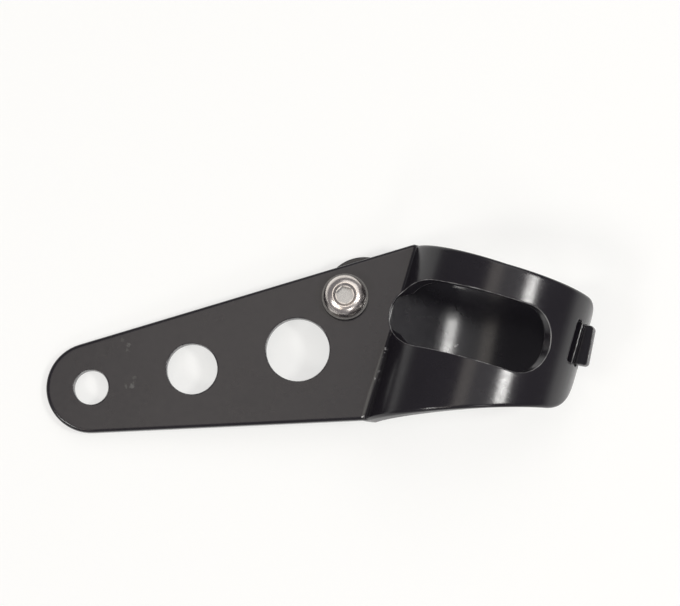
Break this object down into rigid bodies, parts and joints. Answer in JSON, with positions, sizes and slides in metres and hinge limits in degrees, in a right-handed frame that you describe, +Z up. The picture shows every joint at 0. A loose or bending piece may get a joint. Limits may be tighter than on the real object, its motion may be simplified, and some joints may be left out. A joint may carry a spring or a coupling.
{
  "type": "headlight mounting bracket",
  "caption": "Stamped steel fork bracket for a motorbike headlight: a tapering ear with round holes, a curved band over the fork tube, and a strap that a screw draws up to close the clamp.",
  "frame": {"origin": "centre of the round band, on the fork tube's centre line, level with the screw", "axes": "+Y along the fork tube's centre line, +X from the ear's tip towards the band, +Z up as the bracket lies on a bench, front of the ear up"},
  "size_m": [0.127, 0.068, 0.0303],
  "materials": {
    "black_enamel": "gloss",
    "bright_screw": "polished",
    "dark_washer": "satin"
  },
  "bodies": {
    "root": {"lamp_bracket": "black_enamel", "clamp_strap": "black_enamel", "clamp_screw": "bright_screw", "head_washer": "dark_washer", "clamp_nut": "bright_screw"}
  },
  "joints": []
}
